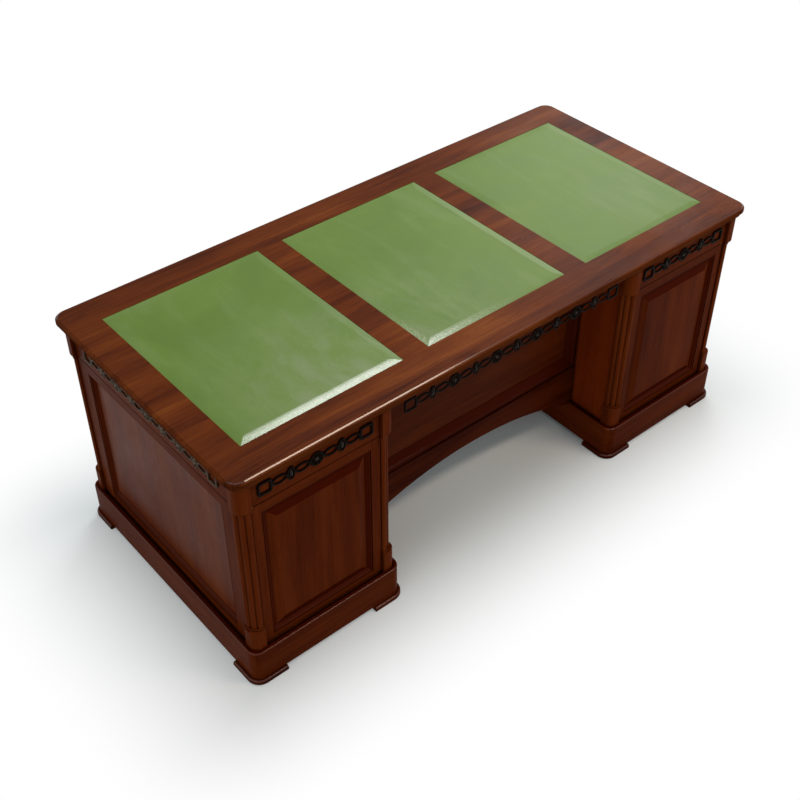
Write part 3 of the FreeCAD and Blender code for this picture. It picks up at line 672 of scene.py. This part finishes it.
class FretTree(Tree):
    """Geometry nodes for a fret: a square at each end, studs and rosettes by turns, links between them."""

    def __init__(self):
        super().__init__(bpy.data.node_groups.new("fret_run", "GeometryNodeTree"))
        face = self.graph.interface
        face.new_socket("Geometry", in_out="OUTPUT", socket_type="NodeSocketGeometry")
        for name in ["Pitch", *FRET_SIZES, "Turn"]:
            face.new_socket(name, in_out="INPUT", socket_type="NodeSocketFloat")
        face.new_socket("Links", in_out="INPUT", socket_type="NodeSocketInt")
        face.new_socket("Place", in_out="INPUT", socket_type="NodeSocketVector")
        face.new_socket("Metal", in_out="INPUT", socket_type="NodeSocketMaterial")
        face.new_socket("Boss Metal", in_out="INPUT", socket_type="NodeSocketMaterial")
        self.inputs = self.graph.nodes.new("NodeGroupInput")
        self.build()

    def size(self, name):
        """A size that the tree is given."""
        return Wire(self, self.inputs.outputs[name])

    def moved(self, geometry, **values):
        """Geometry scaled, turned and moved."""
        return self.node("GeometryNodeTransform", None, {"Geometry": geometry, **values})

    def joined(self, *parts):
        """Several geometries as one."""
        return self.node("GeometryNodeJoinGeometry", None, {"Geometry": list(parts)})

    def rectangle(self, width, height, radius, count=3):
        """An outline with rounded corners."""
        outline = self.node("GeometryNodeCurvePrimitiveQuadrilateral", {"mode": "RECTANGLE"},
                            {"Width": width, "Height": height})
        return self.node("GeometryNodeFilletCurve", {"mode": "POLY"},
                         {"Curve": outline, "Radius": radius, "Count": count, "Limit Radius": True})

    def ring(self, outline, line, depth):
        """A bar bent round an outline, as wide as a line and as deep as a share of the thickness."""
        profile = self.rectangle(line, self.size("Thickness") * depth, self.size("Rounding"))
        return self.node("GeometryNodeCurveToMesh", None, {"Curve": outline, "Profile Curve": profile})

    def oval(self, width, height):
        """An oval ring with a link's line, measured over all."""
        line = self.size("Link Line")
        circle = self.node("GeometryNodeCurvePrimitiveCircle", None,
                           {"Resolution": OVAL_POINTS, "Radius": 0.5})
        outline = self.moved(circle, Scale=self.join(width - line, height - line, 1.0))
        return self.ring(outline, line, LINK_DEPTH)

    def dome(self, width, height, rise, segments=16, rings=8):
        """A flattened ball that rises by a share of the thickness."""
        ball = self.node("GeometryNodeMeshUVSphere", None,
                         {"Segments": segments, "Rings": rings, "Radius": 0.5})
        return self.moved(ball, Scale=self.join(width, height, self.size("Thickness") * rise * 2.0))

    def end_square(self):
        """A square ring with rounded corners, for the ends of a run."""
        line = self.size("Line")
        width = self.size("Square Width") - line
        height = self.size("Height") - line
        return self.ring(self.rectangle(width, height, line * SQUARE_CORNER, 4), line, 1.0)

    def stud(self):
        """An upright oval ring between two links."""
        return self.oval(self.size("Stud Width"), self.size("Height"))

    def drop(self):
        """The oval dome within a stud."""
        return self.dome(self.size("Stud Width") * DROP_WIDTH, self.size("Height") * DROP_HEIGHT, DOME_RISE)

    def rosette(self):
        """A round rim, with petals round its middle."""
        width = self.size("Rosette Width")
        spokes = self.node("GeometryNodeMeshCircle", None,
                           {"Vertices": PETALS, "Radius": width * PETAL_RADIUS})
        petal = self.dome(width * PETAL_LENGTH, width * PETAL_WIDTH, PETAL_RISE, segments=12, rings=6)
        outwards = self.node("FunctionNodeAlignRotationToVector", {"axis": "X"},
                             {"Vector": self.node("GeometryNodeInputPosition")})
        petals = self.node("GeometryNodeInstanceOnPoints", None,
                           {"Points": spokes, "Instance": petal, "Rotation": outwards})
        return self.joined(petals, self.oval(width, width))

    def boss(self):
        """The round dome in the middle of a rosette."""
        width = self.size("Rosette Width") * BOSS_WIDTH
        return self.dome(width, width, DOME_RISE)

    def link(self):
        """A level oval ring that fills the gap between a stud and its neighbour."""
        gap = self.size("Pitch") - self.size("Square Width") / 2.0 - self.size("Stud Width") / 2.0
        return self.oval(gap + self.size("Link Line") * LINK_OVERLAP, self.size("Link Height"))

    def row(self, count, first, step):
        """Points along a run."""
        return self.node("GeometryNodeMeshLine", {"mode": "OFFSET"},
                         {"Count": count, "Start Location": self.join(first, 0.0, 0.0),
                          "Offset": self.join(step, 0.0, 0.0)})

    def on_points(self, points, instance, chosen):
        """A piece on each chosen point."""
        return self.node("GeometryNodeInstanceOnPoints", None,
                         {"Points": points, "Instance": instance, "Selection": chosen})

    def metalled(self, instances, metal):
        """Stand the pieces of a run in their place, as real faces of one metal."""
        upright = self.moved(instances, Rotation=(math.pi / 2, 0.0, 0.0))
        turn = self.join(0.0, 0.0, self.size("Turn"))
        placed = self.moved(upright, Translation=self.size("Place"), Rotation=turn)
        faces = self.node("GeometryNodeRealizeInstances", None, {"Geometry": placed})
        smooth = self.node("GeometryNodeSetShadeSmooth", None, {"Geometry": faces, "Shade Smooth": True})
        return self.node("GeometryNodeSetMaterial", None, {"Geometry": smooth, "Material": self.size(metal)})

    def build(self):
        """Set the pieces of a fret along its run."""
        pitch = self.size("Pitch")
        links = self.size("Links")
        index = self.node("GeometryNodeInputIndex")
        odd = index % 2.0
        at_end = (index < 0.5).most(index > links - 0.5)
        inner = (1.0 - odd) * (1.0 - at_end)
        first = links * pitch * -0.5
        posts = self.row(links + 1.0, first, pitch)
        # A gap's middle lies nearer to its stud, which is narrower than a square or a rosette
        shift = (self.size("Square Width") - self.size("Stud Width")) / 4.0 * (1.0 - odd * 2.0)
        gaps = self.node("GeometryNodeSetPosition", None, {
            "Geometry": self.row(links, first + pitch / 2.0, pitch), "Offset": self.join(shift, 0.0, 0.0)})
        lines = [self.on_points(posts, self.end_square(), at_end), self.on_points(posts, self.stud(), odd),
                 self.on_points(posts, self.rosette(), inner), self.on_points(gaps, self.link(), True)]
        domes = [self.on_points(posts, self.drop(), odd), self.on_points(posts, self.boss(), inner)]
        run = self.metalled(self.joined(*lines), "Metal")
        raised = self.metalled(self.joined(*domes), "Boss Metal")
        self.node("NodeGroupOutput", None, {"Geometry": self.joined(run, raised)})


def fret_run(tree, name, length, links, place, turn, metals):
    """A fret of a length, centred on a place, as a plain mesh."""
    holder = bpy.data.objects.new(name, bpy.data.meshes.new(name + "_seed"))
    bpy.context.scene.collection.objects.link(holder)
    modifier = holder.modifiers.new("fret", "NODES")
    modifier.node_group = tree.graph
    pitch = (length - FRET_SIZES["Square Width"]) / links
    values = {**FRET_SIZES, "Pitch": pitch, "Links": links, "Turn": turn, "Place": place}
    values["Metal"], values["Boss Metal"] = metals
    for item in tree.graph.interface.items_tree:
        if item.in_out == "INPUT":
            modifier[item.identifier] = values[item.name]
    bpy.context.view_layer.update()
    evaluated = holder.evaluated_get(bpy.context.evaluated_depsgraph_get())
    plain = bpy.data.meshes.new_from_object(evaluated)
    bpy.data.objects.remove(holder)
    made = bpy.data.objects.new(name, plain)
    bpy.context.scene.collection.objects.link(made)
    return made


def carried_frets(tree, dark, lit_ends):
    """Frets in the place of the flat ones of the frame, dark in front and, with painted reflection, paler at
    the ends.
    """
    runs = {"kneehole_fret": (X, KNEEHOLE_LINKS, 0.0, dark)}
    for side, turn in (("left", -math.pi / 2), ("right", math.pi / 2)):
        runs[side + "_front_fret"] = (X, FRONT_LINKS, 0.0, dark)
        runs[side + "_end_fret"] = (Y, END_LINKS, turn, lit_ends)
    for node, (axis, links, turn, metals) in runs.items():
        low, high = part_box(node)
        made = fret_run(tree, "cast_" + node, (high - low)[axis], links, (low + high) / 2, turn, metals)
        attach(made, SHELL)
        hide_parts(node)


def drawer_frets(tree, metals):
    """The same frets on the frieze drawers of the sitter's side, as long as those of the visitor's side."""
    lengths = {"centre_drawer": ("kneehole_fret", KNEEHOLE_LINKS)}
    for side in SIDES:
        lengths[side + "_top_drawer"] = (side + "_front_fret", FRONT_LINKS)
    for body, (model, links) in lengths.items():
        low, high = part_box(model)
        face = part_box(body + "_front")[1].y
        place = Vector(((low.x + high.x) / 2, face + FRET_SIZES["Thickness"] / 2, (low.z + high.z) / 2))
        made = fret_run(tree, body + "_fret", high.x - low.x, links, place, math.pi, metals)
        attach(made, body)


# Dressing the frame

END_STILE = 55 * MM             # widths of a pedestal end's frame
END_LOW_RAIL = 38 * MM
END_HIGH_RAIL = 124 * MM
DRAWER_MARGIN = 30 * MM         # round the field of a lower drawer's front


def dress(node, material):
    """Give a solid of the frame its material."""
    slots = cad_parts[node].data.materials
    slots.clear()
    slots.append(material)


def dress_top():
    """The top's five boards."""
    wood = plain_grain("top_mahogany", "x", figure=1.0, polish=0.032, rubbed=0.8, shoulders=nosing_arris,
                       stain=BROWN_STAIN, dull_sides=0.5)
    for piece in ("core", "front_rail", "back_rail", "left_rail", "right_rail"):
        dress("top_" + piece, wood)


def dress_pedestals():
    """Boards, columns and panels of both pedestals, and the plain fronts of the frieze drawers."""
    level = plain_grain("level_mahogany", "x")
    woods = {
        "columns": plain_grain("column_mahogany", "z", lighter=0.05),
        "divider": plain_grain("upright_mahogany", "z"),
        # The door fields' top and bottom bevels get painted shade
        "door_panel": plain_grain("field_mahogany", "z", hollow=0.95, hollows=level_slopes),
        # The inner sides are lightened and reddened: painted light bounced between the wood
        "inner_side": plain_grain("inner_mahogany", "z", lighter=0.18, stain=PAINTED_RED_BOUNCE),
        "end_panel": plain_grain("end_mahogany_leaf", "z", lighter=0.05, polish=0.028),
        "feet": turned_grain("foot_mahogany", lighter=-0.08, rubbed=0.5),
        # The plinth's ledges get painted shade
        "plinth": turned_grain("plinth_mahogany", lighter=-0.02, rubbed=0.45, hollow=1.0, hollows=ledges),
        "base_board": plain_grain("deep_mahogany", "y"),
        "shelf": level,
        "front_frieze": level,
        "top_drawer_front": level,
    }
    for side in SIDES:
        for piece, wood in woods.items():
            dress(side + "_" + piece, wood)
    dress("centre_drawer_front", level)


def dress_kneehole():
    """The frieze and the wall between the pedestals, darker than the rest: painted shade of the kneehole."""
    # Painted shade: darker copies of the mahogany for the kneehole, and dark moulding slopes on its frame
    board = plain_grain("kneehole_mahogany", "x", lighter=-0.03, polish=0.018)
    dress("kneehole_frieze", board)
    dress("modesty_panel", board)
    dress("modesty_frame", plain_grain("modesty_mahogany", "x", lighter=-0.11, polish=0.014, rubbed=0.05,
                                       hollow=0.8))


def dress_frames():
    """Doors, pedestal ends and lower drawers, each pair with one material."""
    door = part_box("right_door_frame")
    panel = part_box("right_door_panel")
    stile = panel[0].x - door[0].x
    door_wood = framed_grain("door_mahogany", door, X, stile, panel[0].z - door[0].z, door[1].z - panel[1].z)
    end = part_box("right_end_frame")
    end_wood = framed_grain("end_mahogany", end, Y, END_STILE, END_LOW_RAIL, END_HIGH_RAIL, hollow=0.55)
    for side in SIDES:
        dress(side + "_door_frame", door_wood)
        dress(side + "_end_frame", end_wood)
    for row in ("middle", "bottom"):
        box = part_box("right_" + row + "_drawer_front")
        wood = framed_grain(row + "_drawer_mahogany", box, X, DRAWER_MARGIN, DRAWER_MARGIN, DRAWER_MARGIN)
        for side in SIDES:
            dress(side + "_" + row + "_drawer_front", wood)


def dress_inside():
    """Drawer boxes, runners, pivots and latches."""
    pale = drawer_wood()
    brass = brushed_brass()
    for side in SIDES:
        dress(side + "_drawer_runners", pale)
        dress(side + "_door_pivots", brass)
        for row in ("top", "middle", "bottom"):
            dress(side + "_" + row + "_drawer_box", pale)
    dress("centre_drawer_box", pale)
    dress("centre_drawer_runners", pale)
    dress("touch_latches", brass)


# Floor, light and camera

FLOOR_HALF = 14.0               # half the floor's width
FLOOR_PAINT = [(0.3, (0.670, 0.750, 0.766)), (0.7, (0.676, 0.757, 0.773))]
FLOOR_BOUNCE = 0.40             # of the light that falls on the floor, what comes back to the desk
SHADOW_REACH = 0.40             # how far the shadow runs out from under the top
SHADOW_CORE = 0.20              # how far under the top it is at its darkest
END_SHADOW = 0.78               # the shadow reaches further at the ends than in front
SKY_LOW = 0.40                  # light from the level
SKY_RISE = 0.20                 # more from overhead
WHITE = (1.0, 1.0, 1.0, 1.0)


def outside_top(paint):
    """Distance on the floor from the rectangle under the desk's top, less than 0 inside it."""
    x, y, _ = paint.axes(paint.place)
    beyond_x = (abs(x) - cad_box[1].x) * END_SHADOW
    beyond_y = abs(y) - cad_box[1].y
    inside = beyond_x.most(beyond_y).least(0.0)
    beyond_x = beyond_x.most(0.0)
    beyond_y = beyond_y.most(0.0)
    return (beyond_x * beyond_x + beyond_y * beyond_y).root() + inside


def studio_floor():
    """A wide pale floor that keeps the desk's shadow and fades to white beyond it."""
    mesh = bmesh.new()
    square = ((-1, -1), (1, -1), (1, 1), (-1, 1))
    mesh.faces.new([mesh.verts.new((FLOOR_HALF * x, FLOOR_HALF * y, 0.0)) for x, y in square])
    paint = Finish("studio_floor")
    seen = paint.seen()
    colour = paint.ramp(paint.noise(paint.place, 3.0, detail=2.0), FLOOR_PAINT)
    colour = paint.blend((FLOOR_BOUNCE, FLOOR_BOUNCE, FLOOR_BOUNCE, 1.0), colour, seen)
    matt = paint.node("ShaderNodeBsdfDiffuse", None, {"Color": colour})
    white = paint.node("ShaderNodeEmission", None, {"Color": WHITE, "Strength": 1.0})
    factor = paint.spread(outside_top(paint), -SHADOW_CORE, SHADOW_REACH, way="SMOOTHSTEP") * seen
    surface = paint.node("ShaderNodeMixShader", None, {0: factor, 1: matt, 2: white})
    paint.node("ShaderNodeOutputMaterial", None, {"Surface": surface})
    mesh_object("studio_floor", mesh, paint.material, False)


def studio_world():
    """Soft light from all round, more from above, in front of a white background."""
    world = bpy.data.worlds.new("studio")
    world.use_nodes = True
    world.node_tree.nodes.clear()
    sky = Tree(world.node_tree)
    height = sky.axes(sky.node("ShaderNodeTexCoord", None, None, "Generated"))[Z]
    dome = SKY_LOW + height.most(0.0) * SKY_RISE
    seen = sky.seen()
    strength = dome * (1.0 - seen) + seen
    light = sky.node("ShaderNodeBackground", None, {"Color": WHITE, "Strength": strength})
    sky.node("ShaderNodeOutputWorld", None, {"Surface": light})
    bpy.context.scene.world = world


def softbox(name, place, target, size, watts, colour=WHITE[:3]):
    """A soft rectangular lamp that looks at a point."""
    lamp = bpy.data.lights.new(name, "AREA")
    lamp.shape = "RECTANGLE"
    lamp.size, lamp.size_y = size
    lamp.energy = watts
    lamp.color = colour
    made = bpy.data.objects.new(name, lamp)
    made.location = place
    made.rotation_euler = (Vector(target) - Vector(place)).to_track_quat("-Z", "Y").to_euler()
    bpy.context.scene.collection.objects.link(made)


def studio_lights():
    """Sheens on the leather, the front edge and the top's right, and soft light from above and the left."""
    softbox("leather_sheen", place=(1.9, 1.85, 5.0), target=(1.9, 0.5, 0.8), size=(1.8, 0.7), watts=71.0)
    softbox("edge_sheen", place=(1.75, -2.72, 5.0), target=(1.75, -1.2, 0.8), size=(1.9, 0.7), watts=80.0,
            colour=(1.0, 0.76, 0.58))
    softbox("ceiling", place=(0.0, 0.6, 4.6), target=(0.0, 0.5, 0.8), size=(2.6, 2.6), watts=28.0)
    softbox("left_fill", place=(-4.0, -1.6, 1.2), target=(-1.0, -0.2, 0.3), size=(1.6, 1.0), watts=10.0,
            colour=(1.0, 0.86, 0.74))
    softbox("right_sheen", place=(3.6, 2.2, 3.0), target=(0.6, 0.0, 0.8), size=(1.6, 1.6), watts=37.0)


def photo_camera():
    """The camera, at the photograph's viewing angle."""
    data = bpy.data.cameras.new("photo_camera")
    data.lens = CAMERA_LENS
    data.sensor_width = CAMERA_SENSOR
    made = bpy.data.objects.new("photo_camera", data)
    flat = math.cos(CAMERA_ELEVATION)
    ahead = math.cos(CAMERA_AZIMUTH) * flat
    aim = Vector((-math.sin(CAMERA_AZIMUTH) * flat, ahead, -math.sin(CAMERA_ELEVATION)))
    made.location = CAMERA_PLACE
    made.rotation_euler = aim.to_track_quat("-Z", "Y").to_euler()
    bpy.context.scene.collection.objects.link(made)
    bpy.context.scene.camera = made


leather = green_leather()
for panel in ("left", "centre", "right"):
    leather_pad(panel, leather)
dark_metals = dark_fret_metals()
fretwork = FretTree()
carried_frets(fretwork, dark_metals, lit_end_fret_metals())
drawer_frets(fretwork, dark_metals)
dress_top()
dress_pedestals()
dress_kneehole()
dress_frames()
dress_inside()
studio_floor()
studio_world()
studio_lights()
photo_camera()
bpy.context.scene.view_settings.view_transform = "Standard"
